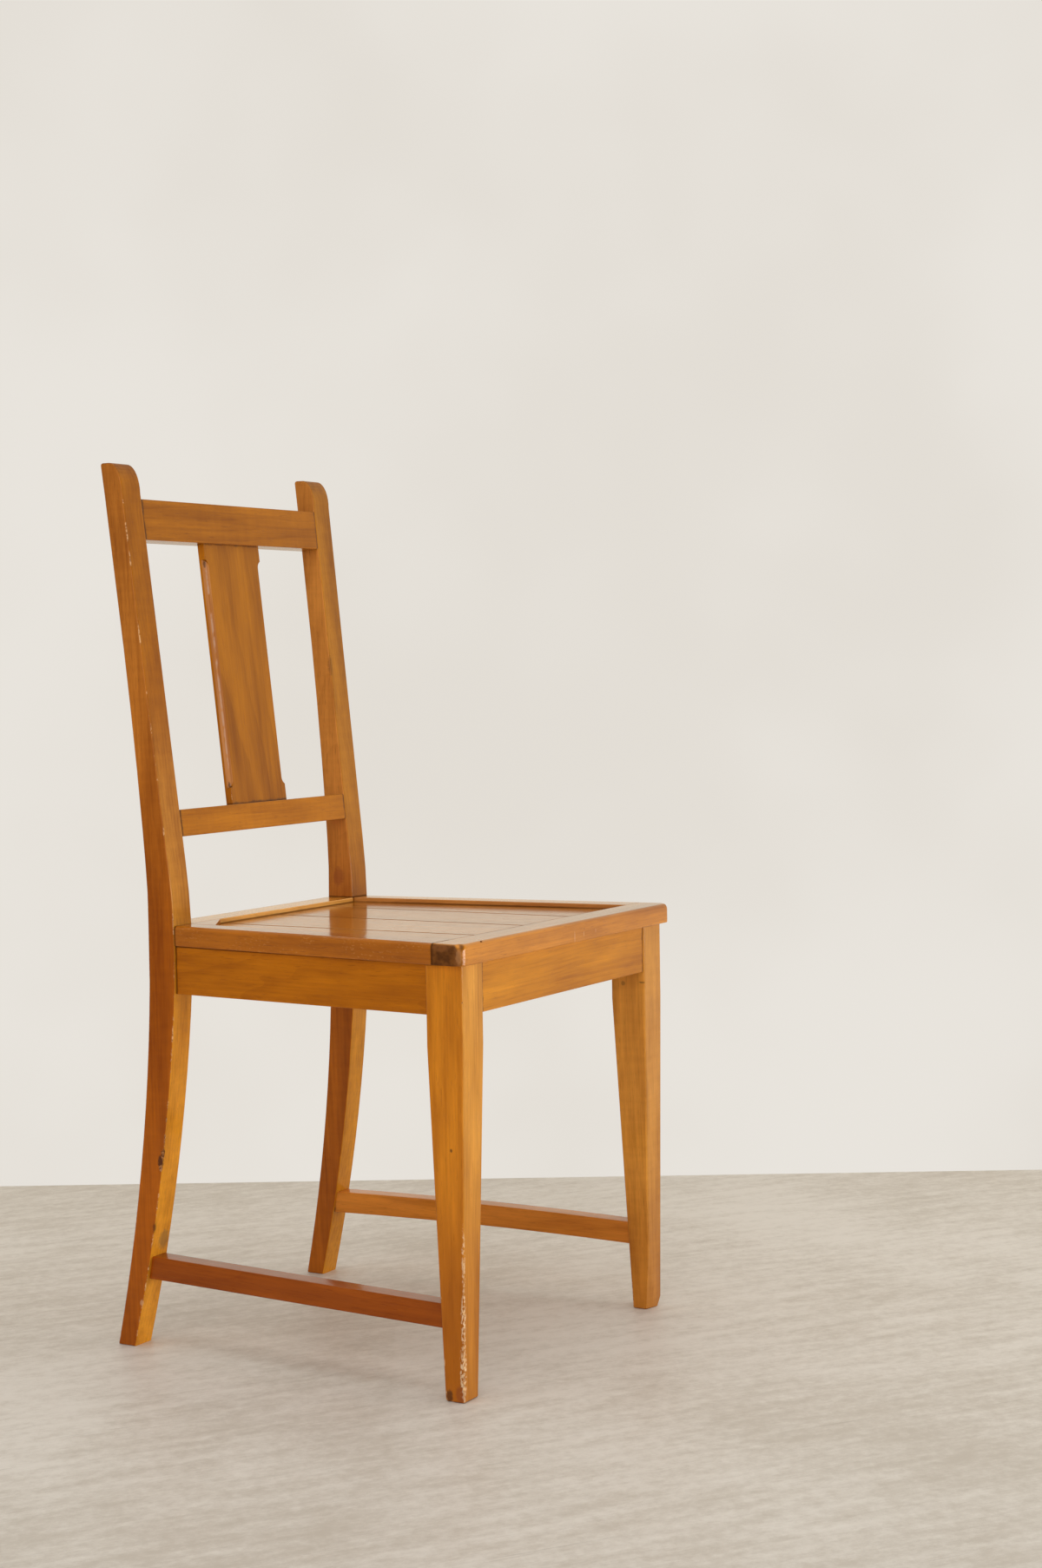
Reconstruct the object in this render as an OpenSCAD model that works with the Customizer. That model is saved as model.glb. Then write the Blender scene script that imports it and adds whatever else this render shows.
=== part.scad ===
// Wooden side chair with a slatted seat
//
// Millimetres, +Z up. The chair faces -Y and stands on Z = 0, with the
// origin on the floor below the middle of its bounding box. Left and
// right are the sitter's. The back is narrower than the front, so the
// side pieces run at an angle in plan.

/* [Overall] */

// Height of the back posts above the floor
overall_height = 887; // [700:1:1100]
// Height of the seat boards above the floor
seat_height = 427; // [350:1:520]
// Width across the outer faces of the front legs
front_width = 404; // [330:1:500]
// Width across the outer faces of the back posts at the seat
back_width = 350; // [300:1:440]
// Front faces of the front legs to front faces of the back posts
leg_spread = 349; // [290:1:440]

/* [Front legs] */

// Width at the top, seen from the front
leg_width = 38; // [30:1:55]
// Depth at the top, seen from the side
leg_depth = 39; // [30:1:55]
// Width at the floor
leg_foot_width = 26; // [18:1:40]
// Depth at the floor
leg_foot_depth = 20; // [16:1:40]
// How far the front face eases back towards the floor
leg_front_ease = 5; // [0:0.5:12]
// Taper starts this far below the seat frame
taper_drop = 77; // [50:1:140]

/* [Back posts] */

// Width of a post, seen from the front
post_width = 30; // [24:1:45]
// Depth of a post at the seat
post_depth = 32; // [26:1:45]
// Depth of a post at the foot
post_foot_depth = 21; // [16:1:35]
// Depth of a post near the top
post_top_depth = 22.7; // [18:0.1:35]
// How far the foot sweeps back behind the seat
foot_sweep = 56.6; // [20:0.1:90]
// How far the top leans back behind the seat
top_lean = 50; // [15:1:90]
// The sweep of the foot starts this far below the seat
knee_drop = 62; // [40:1:110]
// The lean of the back starts this far above the seat
lean_rise = 20; // [0:1:60]
// Length over which the lean sets in
lean_ease = 26; // [5:1:80]
// Height above the seat at which a post reaches its depth near the top
depth_rise = 313; // [150:1:400]
// How far each post leans outwards at the top
top_splay = 8; // [0:0.5:20]
// How far each post leans outwards at the foot
foot_splay = 6; // [0:0.5:15]
// A post is this much narrower at the foot, taken off its inner face
foot_narrowing = 3; // [0:0.5:8]
// Height of the rounding on the front corner of the top
top_round_height = 30; // [10:1:50]
// Depth of that rounding
top_round_depth = 16; // [6:1:20]

/* [Back rails and splat] */

// Post tops to the top edge of the top rail
top_rail_drop = 35; // [15:1:80]
// Height of the top rail
top_rail_height = 41; // [25:1:80]
// Height of the lower back rail
lower_rail_height = 27; // [18:1:50]
// Seat to the lower edge of the lower back rail
lower_rail_gap = 87; // [40:1:160]
// The rails stand this far behind the front faces of the posts
rail_setback = 0.4; // [0:0.1:2]
// Thickness of both rails
rail_thickness = 20; // [14:0.5:22]
// Width of the splat
splat_width = 97; // [50:1:160]
// Thickness of the splat
splat_thickness = 8; // [6:0.5:12]
// The splat stands this far left of the middle (negative is right)
splat_offset = -2.5; // [-10:0.5:10]
// The splat stands this far behind the front faces of the rails
splat_setback = 5; // [2:0.5:8]
// Cut of the stopped chamfer on the front edges of the splat
splat_chamfer = 5; // [1:0.5:5.5]
// Length of edge left sharp at each end of the splat
splat_shoulder = 16; // [5:1:40]
// Radius of the scoop that ends the chamfer
splat_scoop = 8; // [5:1:20]

/* [Seat frame] */

// Height of the aprons
apron_height = 48; // [30:1:75]
// Thickness of the aprons
apron_thickness = 20; // [15:1:26]
// Aprons and stretchers stand this far inside the leg faces
apron_inset = 1.5; // [0.5:0.5:5]
// The side aprons stand this far inside the back posts
apron_post_inset = 2.7; // [0.5:0.1:6]
// Legs of the corner blocks along the aprons
corner_block_size = 45; // [25:1:60]
// Height of the corner blocks
corner_block_height = 24; // [12:1:28]
// Width of the slat cleats, front to back
cleat_width = 16; // [10:1:24]
// Height of the slat cleats
cleat_height = 18; // [10:1:30]

/* [Seat] */

// Thickness of the boards around the seat
board_thickness = 20; // [15:0.5:28]
// The boards stand out past the front legs by this much in front
front_overhang = 6.5; // [2:0.5:20]
// and by this much at the sides
side_overhang = 12; // [4:0.5:20]
// Width of the front board
front_board_width = 33.5; // [25:0.5:60]
// Width of the side boards at the front
side_board_width = 34; // [28:0.5:50]
// Width of the side boards at the back posts
side_board_back_width = 26; // [20:0.5:40]
// Corner radius of the front board, seen from above
seat_corner_radius = 9; // [3:1:20]
// Rounding along the upper outer edges of the boards
board_rounding = 4; // [1:0.5:8]
// The slats lie this far below the boards
slat_recess = 5; // [2:0.5:9]
// Distance from slat to slat
slat_pitch = 94; // [60:1:120]
// Gap between slats
slat_gap = 1.2; // [0.5:0.1:3]
// Bevel along the top edges of the slats
slat_bevel = 1; // [0.5:0.1:2]
// Length of the corner filler along the back board
filler_length = 50; // [20:1:70]
// Length of the corner filler along the side board
filler_depth = 33; // [12:1:50]

/* [Stretchers] */

// Underside of the stretchers above the floor, at the front
stretcher_height_front = 67.5; // [40:0.5:140]
// Height of the right stretcher above the floor at the back
right_stretcher_back = 69.5; // [40:0.5:140]
// Height of the left stretcher above the floor at the back
left_stretcher_back = 72; // [40:0.5:140]
// Upward bow of the right stretcher
right_stretcher_bow = 0.5; // [0:0.1:5]
// Upward bow of the left stretcher
left_stretcher_bow = 2.6; // [0:0.1:5]
// Height of a stretcher section
stretcher_depth = 23; // [15:0.5:35]
// Thickness of a stretcher
stretcher_thickness = 21; // [15:0.5:26]
// The stretchers stand this far inside the back posts
stretcher_post_inset = 4; // [0.5:0.5:6]

/* [Joints] */

// Length of the tenons
tenon_length = 16; // [8:1:20]
// Thickness of the tenons
tenon_thickness = 9; // [6:0.5:12]
// Shoulder above and below the tenon of an apron or a rail
tenon_shoulder = 6; // [3:0.5:10]
// Depth of a stretcher's tenon in a leg or post
stretcher_tenon = 10; // [5:1:12]
// Depth of the back apron's tenons
back_tenon = 7; // [4:1:9]
// Depth of the front apron's tenons
front_tenon = 14; // [6:1:16]
// Depth of the splat's tenons in the rails
splat_tenon = 10; // [5:1:18]

/* [Hidden] */

RIGHT = -1;
LEFT = 1;
frame_top = seat_height - board_thickness;
slat_top = seat_height - slat_recess;
apron_bottom = frame_top - apron_height;
taper_top = frame_top - taper_drop;
half_front = front_width / 2;
half_back = back_width / 2;
seat_line = leg_spread;
knee = seat_height - knee_drop;
lean_start = seat_height + lean_rise;
// longer than any piece, for blanks and cuts that run right through
beyond = 900;

// ---- curve of a back post, seen from the side ----

function blend(a, b, t) = a + (b - a) * t;
// sweep of the leg below the knee, 0 at the knee and 1 at the floor
function below(z) = max(0, knee - z) / knee;
// the back leans at a steady slope once the curve above the seat is past
slope = top_lean / (overall_height - lean_start);
function lean(z) = 0.5 * slope
    * (z - lean_start + sqrt(pow(z - lean_start, 2) + pow(lean_ease, 2)));
// this share of the sweep runs straight, and the rest of it curves
straight_share = 0.37;
function sweep(z) = foot_sweep
    * blend(pow(below(z), 2), below(z), straight_share);
function post_front(z) = seat_line + sweep(z) + lean(z);
// the post is deepest at the seat and thins out towards both ends
function thinning(z) = pow(1 - min(1, (z - seat_height) / depth_rise), 2);
function post_deep(z) = (z < knee)
    ? blend(post_depth, post_foot_depth, below(z))
    : (z < seat_height) ? post_depth
    : blend(post_top_depth, post_depth, thinning(z));
function post_back(z) = post_front(z) + post_deep(z);

// the bounding box runs from the front board to the heels of the posts
middle = (post_back(0) - front_overhang) / 2;

function half_out(z) = half_back + ((z < seat_height)
    ? foot_splay * (seat_height - z) / seat_height
    : top_splay * (z - seat_height) / (overall_height - seat_height));

// straight stretches that follow a post's curve
steps = 28;
round_start = overall_height - top_round_height;
heights = [for (i = [0 : steps]) round_start * i / steps];
// radius of the rounding on the back corner of the top
crown_radius = 2.5;

module post_side_view() {
    y_tip = post_front(round_start) + top_round_depth;
    y_heel = post_back(overall_height);
    polygon(concat(
        [for (z = heights) [post_front(z), z]],
        [for (a = [10 : 10 : 90]) [
            y_tip - top_round_depth * cos(a),
            round_start + top_round_height * sin(a)]],
        [for (a = [90 : -30 : 0]) [
            y_heel - crown_radius * (1 - cos(a)),
            overall_height - crown_radius * (1 - sin(a))]],
        [for (i = [steps : -1 : 0]) [post_back(heights[i]), heights[i]]]
    ));
}

module post_front_view() {
    polygon([
        [half_out(0), 0],
        [half_out(seat_height), seat_height],
        [half_out(overall_height), overall_height + 1],
        [half_out(overall_height) - post_width, overall_height + 1],
        [half_out(seat_height) - post_width, seat_height],
        [half_out(0) - post_width + foot_narrowing, 0]
    ]);
}

// stands a front view drawn in X and Z up, from Y = a to Y = b
module upright(a, b) {
    translate([0, b, 0]) rotate([90, 0, 0]) linear_extrude(b - a) children();
}

// stands a side view drawn in Y and Z up, from X = a to X = b
module sideways(a, b) {
    translate([a, 0, 0]) rotate([90, 0, 90]) linear_extrude(b - a) children();
}

module post_blank() {
    intersection() {
        sideways(0, beyond) post_side_view();
        upright(0, beyond) post_front_view();
    }
}

module leg_blank() {
    intersection() {
        upright(-beyond, beyond) polygon([
            [half_front, 0],
            [half_front, frame_top],
            [half_front - leg_width, frame_top],
            [half_front - leg_width, taper_top],
            [half_front - leg_foot_width, 0]
        ]);
        sideways(0, beyond) polygon([
            [leg_front_ease, 0],
            [0, taper_top],
            [0, frame_top],
            [leg_depth, frame_top],
            [leg_depth, taper_top],
            [leg_front_ease + leg_foot_depth, 0]
        ]);
    }
}

module side(which) {
    if (which == RIGHT) mirror([1, 0, 0]) children();
    else children();
}

// ---- side pieces, drawn on the left and mirrored for the right ----

front_x = half_front - apron_inset;
y_in_leg = leg_depth / 2;

// X of a side piece's outer face at Y, from its place at the leg to that at the post
function line_x(y, x_post, y_post) = blend(front_x, x_post, (y - y_in_leg) / (y_post - y_in_leg));

// plan of a strip that lies cut inside that face, from Y = y0 to Y = y1
module plan_strip(y0, y1, x_post, y_post, cut, thick) {
    polygon([
        [line_x(y0, x_post, y_post) - cut, y0],
        [line_x(y1, x_post, y_post) - cut, y1],
        [line_x(y1, x_post, y_post) - cut - thick, y1],
        [line_x(y0, x_post, y_post) - cut - thick, y0]
    ]);
}

apron_post_x = half_out(frame_top) - apron_post_inset;
apron_cut = (apron_thickness - tenon_thickness) / 2;
apron_tenon_low = apron_bottom + tenon_shoulder;
// room that is left under the seat boards above an apron's tenon
apron_tenon_headroom = 4;
apron_tenon_height = apron_height - 2 * tenon_shoulder - apron_tenon_headroom;
function apron_inner(y) = line_x(y, apron_post_x, seat_line) - apron_thickness;

module apron_bar() {
    translate([0, 0, apron_bottom])
        linear_extrude(apron_height)
            plan_strip(y_in_leg, seat_line + post_depth / 2, apron_post_x, seat_line,
                0, apron_thickness);
}

module apron_tenons() {
    translate([0, 0, apron_tenon_low])
        linear_extrude(apron_tenon_height)
            plan_strip(leg_depth - tenon_length, seat_line + tenon_length,
                apron_post_x, seat_line, apron_cut, tenon_thickness);
}

module side_apron() {
    difference() {
        apron_bar();
        leg_blank();
        post_blank();
    }
    apron_tenons();
}

// the stretchers meet the swept posts further back than the aprons do
stretcher_mid = stretcher_height_front + stretcher_depth / 2;
y_low_post = post_front(stretcher_mid);
y_low_leg = blend(leg_front_ease + leg_foot_depth, leg_depth, stretcher_mid / taper_top);
stretcher_post_x = half_out(stretcher_mid) - stretcher_post_inset;
stretcher_shoulder = 5;
stretcher_ends = 11;

function stretcher_low(y, back, bow) =
    let (t = (y - y_low_leg) / (y_low_post - y_low_leg))
    blend(stretcher_height_front, back, t) + bow * 4 * t * (1 - t);

// side view between Y = y0 and Y = y1, with a shoulder above and below
module stretcher_side_view(back, bow, y0, y1, shoulder) {
    n = 12;
    ys = [for (i = [0 : n]) blend(y0, y1, i / n)];
    polygon(concat(
        [for (y = ys) [y, stretcher_low(y, back, bow) + shoulder]],
        [for (i = [n : -1 : 0])
            [ys[i], stretcher_low(ys[i], back, bow) + stretcher_depth - shoulder]]
    ));
}

module stretcher_strip(back, bow, y0, y1, cut, thick, shoulder) {
    intersection() {
        linear_extrude(seat_height)
            plan_strip(y0, y1, stretcher_post_x, y_low_post, cut, thick);
        sideways(0, beyond)
            stretcher_side_view(back, bow, y0, y1, shoulder);
    }
}

module stretcher_tenons(back, bow) {
    stretcher_strip(back, bow, y_low_leg - stretcher_tenon, y_low_post + stretcher_tenon,
        (stretcher_thickness - tenon_thickness) / 2, tenon_thickness, stretcher_shoulder);
}

module stretcher(back, bow) {
    difference() {
        stretcher_strip(back, bow, y_low_leg - stretcher_ends, y_low_post + stretcher_ends,
            0, stretcher_thickness, 0);
        leg_blank();
        post_blank();
    }
    stretcher_tenons(back, bow);
}

// ---- cross pieces ----

// a rail between the back posts, leaning with them
top_rail_top = overall_height - top_rail_drop;
top_rail_low = top_rail_top - top_rail_height;
lower_rail_low = seat_height + lower_rail_gap;
lower_rail_top = lower_rail_low + lower_rail_height;

function rail_rake(z0, z1) = atan((post_front(z1) - post_front(z0)) / (z1 - z0));

module rail_block(z0, z1, half, front, deep, trim) {
    rake = rail_rake(z0, z1);
    high = (z1 - z0) / cos(rake);
    translate([0, post_front(z0) + rail_setback, z0])
        rotate([-rake, 0, 0])
            translate([-half, front, trim])
                cube([2 * half, deep, high - 2 * trim]);
}

module rail_bar(z0, z1) {
    rail_block(z0, z1, half_out(z0) - post_width / 2, 0, rail_thickness, 0);
}

module rail_tenons(z0, z1) {
    rail_block(z0, z1, half_out(z0) - post_width + tenon_length,
        (rail_thickness - tenon_thickness) / 2, tenon_thickness, tenon_shoulder);
}

module rail(z0, z1) {
    difference() {
        union() {
            difference() {
                rail_bar(z0, z1);
                post_blanks();
            }
            rail_tenons(z0, z1);
        }
        splat_tenons();
    }
}

module post_blanks() {
    side(LEFT) post_blank();
    side(RIGHT) post_blank();
}

module leg_blanks() {
    side(LEFT) leg_blank();
    side(RIGHT) leg_blank();
}

splat_foot_y = post_front(lower_rail_top) + rail_setback + splat_setback;
splat_head_y = post_front(top_rail_low) + rail_setback + splat_setback;
splat_rake = atan((splat_head_y - splat_foot_y) / (top_rail_low - lower_rail_top));
splat_length = (top_rail_low - lower_rail_top) / cos(splat_rake);
// the ends of the splat run this far past its length before they are scribed
splat_spare = 4;
// the tenons are narrower and thinner than the splat
splat_tenon_side = 6;
splat_tenon_face = 2;

module lay_on_back() {
    translate([splat_offset, splat_foot_y, lower_rail_top])
        rotate([-splat_rake, 0, 0])
            children();
}

module splat_tenons() {
    lay_on_back()
        translate([splat_tenon_side - splat_width / 2, splat_tenon_face, -splat_tenon])
            cube([
                splat_width - 2 * splat_tenon_side,
                splat_thickness - 2 * splat_tenon_face,
                splat_length + 2 * splat_tenon
            ]);
}

// a stopped chamfer along the left front edge, with a scoop at each end
module chamfer_cut() {
    c = splat_chamfer;
    low = splat_shoulder + splat_scoop;
    high = splat_length - low;
    translate([splat_width / 2, 0, 0])
        intersection() {
            linear_extrude(splat_length)
                polygon([[-c, 0], [-c, -1], [1, -1], [1, c], [0, c]]);
            upright(-1, splat_thickness + 1) {
                translate([-c, low]) square([c + 1, high - low]);
                for (z = [low, high])
                    translate([splat_scoop - c, z]) circle(splat_scoop, $fn = 48);
            }
        }
}

module splat_body() {
    difference() {
        lay_on_back()
            translate([-splat_width / 2, 0, -splat_spare])
                cube([splat_width, splat_thickness, splat_length + 2 * splat_spare]);
        rail_bar(lower_rail_low, lower_rail_top);
        rail_bar(top_rail_low, top_rail_top);
        lay_on_back() {
            chamfer_cut();
            mirror([1, 0, 0]) chamfer_cut();
        }
    }
}

// ---- seat ----

half_seat_front = half_front + side_overhang;
half_seat_back = half_back - 0.5;
seat_front = -front_overhang;
front_board_back = seat_front + front_board_width;
function seat_x(y) = blend(half_seat_front, half_seat_back,
    (y - seat_front) / (seat_line - seat_front));
function board_in(y) = seat_x(y) - blend(side_board_width, side_board_back_width,
    (y - seat_front) / (seat_line - seat_front));
slat_front = front_board_back;
slat_back = seat_line;

module front_board_plan() {
    r = seat_corner_radius;
    x = seat_x(seat_front + r) - r;
    polygon([
        [-x, seat_front],
        [x, seat_front],
        [x + r, seat_front + r],
        [seat_x(front_board_back), front_board_back],
        [-seat_x(front_board_back), front_board_back],
        [-x - r, seat_front + r]
    ]);
    for (which = [RIGHT, LEFT])
        translate([which * x, seat_front + r]) circle(r, $fn = 48);
}

// section of a board, rounded at its upper corner at X = 0
module rounded_section(wide) {
    r = board_rounding;
    difference() {
        square([wide, board_thickness]);
        translate([0, board_thickness - r])
            difference() {
                translate([-1, 0]) square([r + 1, r + 1]);
                translate([r, 0]) circle(r, $fn = 48);
            }
    }
}

module front_board() {
    half = seat_x(seat_front + seat_corner_radius);
    translate([0, 0, frame_top])
        intersection() {
            linear_extrude(board_thickness) front_board_plan();
            sideways(-beyond, beyond)
                translate([seat_front, 0]) rounded_section(2 * front_board_width);
            upright(seat_front - 1, seat_front + beyond)
                union() {
                    translate([-half, 0]) rounded_section(half + 1);
                    mirror([1, 0]) translate([-half, 0]) rounded_section(half + 1);
                }
        }
}

// the side boards run past the front faces of the posts and are scribed to them
board_spare = 8;
seat_angle = atan((half_seat_front - half_seat_back) / (seat_line - seat_front));

module side_board_plan() {
    y1 = seat_line + board_spare;
    polygon([
        [seat_x(front_board_back), front_board_back],
        [seat_x(y1), y1],
        [board_in(y1), y1],
        [board_in(front_board_back), front_board_back]
    ]);
}

module side_board() {
    difference() {
        translate([0, 0, frame_top])
            intersection() {
                linear_extrude(board_thickness) side_board_plan();
                translate([half_seat_front, seat_front, 0])
                    rotate([0, 0, seat_angle])
                        upright(0, beyond)
                            mirror([1, 0]) rounded_section(3 * side_board_width);
            }
        post_blank();
    }
}

module slat_section(x0, x1) {
    b = slat_bevel;
    polygon([
        [x0, frame_top],
        [x1, frame_top],
        [x1, slat_top - b],
        [x1 - b, slat_top],
        [x0 + b, slat_top],
        [x0, slat_top - b]
    ]);
}

module inner_slat(x0, x1) {
    upright(slat_front, slat_back) slat_section(x0, x1);
}

module outer_slat() {
    intersection() {
        upright(slat_front, slat_back)
            slat_section(slat_pitch + slat_gap / 2, half_seat_front);
        translate([0, 0, frame_top - 1])
            linear_extrude(board_thickness)
                polygon([
                    [0, slat_front],
                    [board_in(slat_front), slat_front],
                    [board_in(slat_back), slat_back],
                    [0, slat_back]
                ]);
    }
}

cleat_front_y = apron_inset + apron_thickness;
// the corner blocks stand this far above the lower edges of the aprons
corner_block_rise = 4;
corner_block_low = apron_bottom + corner_block_rise;
back_apron_y = seat_line + (post_depth - apron_thickness) / 2;

// ---- the pieces ----

module move() {
    translate([0, -middle, 0]) children();
}

module rear_post(which) {
    color("peru") move() side(which)
        difference() {
            post_blank();
            apron_tenons();
            if (which == RIGHT) stretcher_tenons(right_stretcher_back, right_stretcher_bow);
            else stretcher_tenons(left_stretcher_back, left_stretcher_bow);
            rail_tenons(top_rail_low, top_rail_top);
            rail_tenons(lower_rail_low, lower_rail_top);
            back_apron_tenons();
        }
}

module rear_post_right() {
    rear_post(RIGHT);
}

module rear_post_left() {
    rear_post(LEFT);
}

module front_leg(which) {
    color("peru") move() side(which)
        difference() {
            leg_blank();
            apron_tenons();
            if (which == RIGHT) stretcher_tenons(right_stretcher_back, right_stretcher_bow);
            else stretcher_tenons(left_stretcher_back, left_stretcher_bow);
            front_apron_tenons();
        }
}

module front_leg_right() {
    front_leg(RIGHT);
}

module front_leg_left() {
    front_leg(LEFT);
}

module top_rail() {
    color("chocolate") move() rail(top_rail_low, top_rail_top);
}

module lower_rail() {
    color("chocolate") move() rail(lower_rail_low, lower_rail_top);
}

module splat() {
    color("sandybrown") move() {
        splat_body();
        splat_tenons();
    }
}

module front_apron_tenons() {
    x = half_front - leg_width + front_tenon;
    translate([-x, apron_inset + apron_cut, apron_tenon_low])
        cube([2 * x, tenon_thickness, apron_tenon_height]);
}

module front_apron() {
    x = half_front - leg_width;
    color("goldenrod") move() {
        translate([-x, apron_inset, apron_bottom])
            cube([2 * x, apron_thickness, apron_height]);
        front_apron_tenons();
    }
}

module back_apron_tenons() {
    x = half_back - post_width + back_tenon;
    translate([-x, back_apron_y + apron_cut, apron_tenon_low])
        cube([2 * x, tenon_thickness, apron_tenon_height]);
}

module back_apron() {
    x = half_back - post_width / 2;
    color("goldenrod") move() {
        difference() {
            translate([-x, back_apron_y, apron_bottom])
                cube([2 * x, apron_thickness, apron_height]);
            post_blanks();
        }
        back_apron_tenons();
    }
}

module right_apron() {
    color("goldenrod") move() side(RIGHT) side_apron();
}

module left_apron() {
    color("goldenrod") move() side(LEFT) side_apron();
}

module right_stretcher() {
    color("chocolate") move() side(RIGHT)
        stretcher(right_stretcher_back, right_stretcher_bow);
}

module left_stretcher() {
    color("chocolate") move() side(LEFT)
        stretcher(left_stretcher_back, left_stretcher_bow);
}

module seat_front_board() {
    color("burlywood") move() front_board();
}

module seat_back_board() {
    x = half_back - post_width;
    color("burlywood") move()
        translate([-x, seat_line, frame_top])
            cube([2 * x, post_depth, board_thickness]);
}

module seat_right_board() {
    color("burlywood") move() side(RIGHT) side_board();
}

module seat_left_board() {
    color("burlywood") move() side(LEFT) side_board();
}

module slat_right_outer() {
    color("wheat") move() side(RIGHT) outer_slat();
}

module slat_right_inner() {
    color("wheat") move() side(RIGHT)
        inner_slat(slat_gap / 2, slat_pitch - slat_gap / 2);
}

module slat_left_inner() {
    color("wheat") move() side(LEFT)
        inner_slat(slat_gap / 2, slat_pitch - slat_gap / 2);
}

module slat_left_outer() {
    color("wheat") move() side(LEFT) outer_slat();
}

module front_cleat() {
    x = half_front - leg_width;
    color("tan") move()
        translate([-x, cleat_front_y, frame_top - cleat_height])
            cube([2 * x, cleat_width, cleat_height]);
}

module back_cleat() {
    x = half_back - post_width - 1;
    color("tan") move()
        translate([-x, back_apron_y - cleat_width, frame_top - cleat_height])
            cube([2 * x, cleat_width, cleat_height]);
}

module corner_filler() {
    x = board_in(slat_back);
    y = slat_back - filler_depth;
    color("wheat") move() side(RIGHT)
        translate([0, 0, slat_top])
            linear_extrude(slat_recess)
                polygon([[x, slat_back], [x - filler_length, slat_back], [board_in(y), y]]);
}

// triangular block in the corner of two aprons, cut round the leg or post
module front_corner_block() {
    x = half_front - leg_width;
    y = cleat_front_y;
    y1 = leg_depth + corner_block_size;
    translate([0, 0, corner_block_low])
        linear_extrude(corner_block_height)
            polygon([
                [x - corner_block_size, y],
                [x, y],
                [x, leg_depth],
                [apron_inner(leg_depth), leg_depth],
                [apron_inner(y1), y1]
            ]);
}

module back_corner_block() {
    x = half_back - post_width;
    y = back_apron_y;
    y1 = seat_line - corner_block_size;
    difference() {
        translate([0, 0, corner_block_low])
            linear_extrude(corner_block_height)
                polygon([
                    [x - corner_block_size, y],
                    [apron_inner(y), y],
                    [apron_inner(y1), y1]
                ]);
        post_blank();
    }
}

module corner_block_front_right() {
    color("tan") move() side(RIGHT) front_corner_block();
}

module corner_block_front_left() {
    color("tan") move() side(LEFT) front_corner_block();
}

module corner_block_back_right() {
    color("tan") move() side(RIGHT) back_corner_block();
}

module corner_block_back_left() {
    color("tan") move() side(LEFT) back_corner_block();
}

rear_post_right();
rear_post_left();
front_leg_right();
front_leg_left();
top_rail();
lower_rail();
splat();
front_apron();
back_apron();
right_apron();
left_apron();
right_stretcher();
left_stretcher();
seat_front_board();
seat_back_board();
seat_right_board();
seat_left_board();
slat_right_outer();
slat_right_inner();
slat_left_inner();
slat_left_outer();
front_cleat();
back_cleat();
corner_filler();
corner_block_front_right();
corner_block_front_left();
corner_block_back_right();
corner_block_back_left();
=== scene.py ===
import math
import random

import bmesh
import bpy
import numpy as np
from mathutils import Matrix, Vector
from mathutils.bvhtree import BVHTree


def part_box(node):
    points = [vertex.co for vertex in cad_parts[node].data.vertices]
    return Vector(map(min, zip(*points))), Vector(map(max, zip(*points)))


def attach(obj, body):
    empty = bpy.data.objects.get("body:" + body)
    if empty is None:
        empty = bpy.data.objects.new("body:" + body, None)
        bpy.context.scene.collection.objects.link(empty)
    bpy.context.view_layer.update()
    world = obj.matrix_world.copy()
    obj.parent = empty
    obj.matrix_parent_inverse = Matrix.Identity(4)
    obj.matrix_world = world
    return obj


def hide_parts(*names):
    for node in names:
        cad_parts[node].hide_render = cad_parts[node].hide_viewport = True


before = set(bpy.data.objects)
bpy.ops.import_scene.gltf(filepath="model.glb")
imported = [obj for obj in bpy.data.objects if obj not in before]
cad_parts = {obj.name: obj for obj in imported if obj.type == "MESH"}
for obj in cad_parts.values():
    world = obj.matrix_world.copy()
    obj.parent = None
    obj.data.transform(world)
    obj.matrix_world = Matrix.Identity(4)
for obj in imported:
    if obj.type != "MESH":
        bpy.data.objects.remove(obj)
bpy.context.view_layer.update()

AXES = {"x": Vector((1, 0, 0)), "y": Vector((0, 1, 0)), "z": Vector((0, 0, 1))}
flat_marker = bpy.data.materials.new("flat_marker")
eased_marker = bpy.data.materials.new("eased_marker")
chip_marker = bpy.data.materials.new("chip_marker")

# ---------------------------------------------------------------- places in the frame, in metres

seat_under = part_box("front_apron")[1].z
seat_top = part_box("seat_back_board")[1].z
slat_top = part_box("slat_left_inner")[1].z
back_board_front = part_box("seat_back_board")[0].y
side_board_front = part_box("seat_right_board")[0].y
side_board_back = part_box("seat_right_board")[1].y
side_board_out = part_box("seat_left_board")[1].x
slat_gap = (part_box("slat_left_inner")[1].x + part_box("slat_left_outer")[0].x) / 2
well_side = (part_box("seat_left_board")[0].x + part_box("slat_left_outer")[1].x) / 2

LEG_EASE = 0.005          # how far a front leg's face has eased back at its foot
LEG_TAPER_TOP = 0.330     # the height where the taper begins


def leg_eased(height):
    """How far back a front leg's face has eased at this height."""
    return LEG_EASE * max(0.0, 1 - height / LEG_TAPER_TOP)


# ---------------------------------------------------------------- shaping

MERGE_WITHIN = 0.00002
FLAT_WITHIN = math.radians(0.4)
ARRIS_FROM = math.radians(26)       # an edge that turns less is part of a curve
SMOOTH_WITHIN = math.radians(36)


def only(piece):
    """Selects this piece and nothing else."""
    bpy.ops.object.select_all(action="DESELECT")
    piece.select_set(True)
    bpy.context.view_layer.objects.active = piece


def put_in_scene(name, data):
    """A new object for a mesh, a lamp or a camera."""
    made = bpy.data.objects.new(name, data)
    bpy.context.scene.collection.objects.link(made)
    return made


def new_piece(name, mesh):
    """An object for this mesh, with a slot for flat faces and one for eased faces."""
    mesh.materials.append(flat_marker)
    mesh.materials.append(eased_marker)
    return put_in_scene(name, mesh)


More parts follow.
